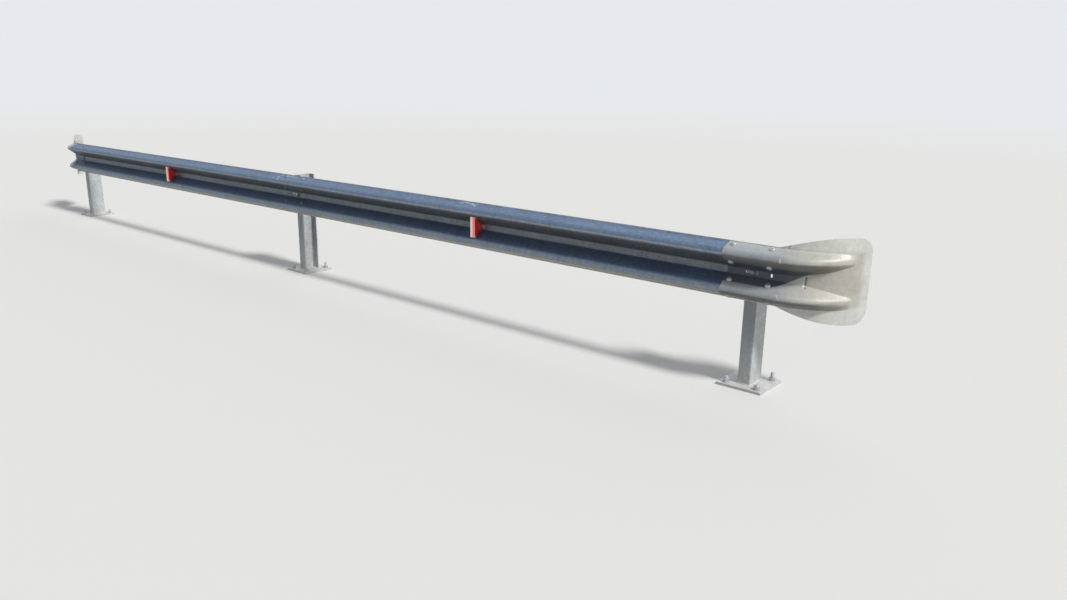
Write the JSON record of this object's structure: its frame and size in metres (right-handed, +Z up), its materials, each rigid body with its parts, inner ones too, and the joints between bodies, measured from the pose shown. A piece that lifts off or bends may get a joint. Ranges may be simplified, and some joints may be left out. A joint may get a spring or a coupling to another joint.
{
  "type": "highway guardrail section",
  "caption": "Corrugated steel guardrail over two bays, on C-section posts with bolted base plates, with a curved fan terminal at each end and mid-bay reflectors.",
  "frame": {"origin": "centre of the underside of the middle base plate, on the ground", "axes": "+X along the rail, -Y towards the road, +Z up"},
  "size_m": [9.0456, 0.3128, 0.862],
  "materials": {
    "post_zinc": "hot-dip galvanised, spangled",
    "plate_zinc": "hot-dip galvanised, dusty",
    "rail_zinc": "hot-dip galvanised, satin",
    "terminal_zinc": "hot-dip galvanised, dull, scratched",
    "foot_zinc": "galvanised strip",
    "red_plastic": "moulded, weathered",
    "white_plastic": "moulded, weathered",
    "red_lens": "prismatic reflective lens",
    "white_lens": "prismatic reflective lens"
  },
  "bodies": {
    "root": {"post_left": "post_zinc", "post_middle": "post_zinc", "post_right": "post_zinc", "base_plate_left": "plate_zinc", "base_plate_middle": "plate_zinc", "base_plate_right": "plate_zinc", "rail_left": "rail_zinc", "rail_right": "rail_zinc", "terminal_left": "terminal_zinc", "terminal_right": "terminal_zinc", "reflector_foot_left": "foot_zinc", "reflector_foot_right": "foot_zinc", "reflector_red_half_left": "red_plastic", "reflector_red_half_right": "red_plastic", "reflector_white_half_left": "white_plastic", "reflector_white_half_right": "white_plastic", "reflector_red_lens_left": "red_lens", "reflector_red_lens_right": "red_lens", "reflector_white_lens_left": "white_lens", "reflector_white_lens_right": "white_lens"}
  },
  "joints": []
}
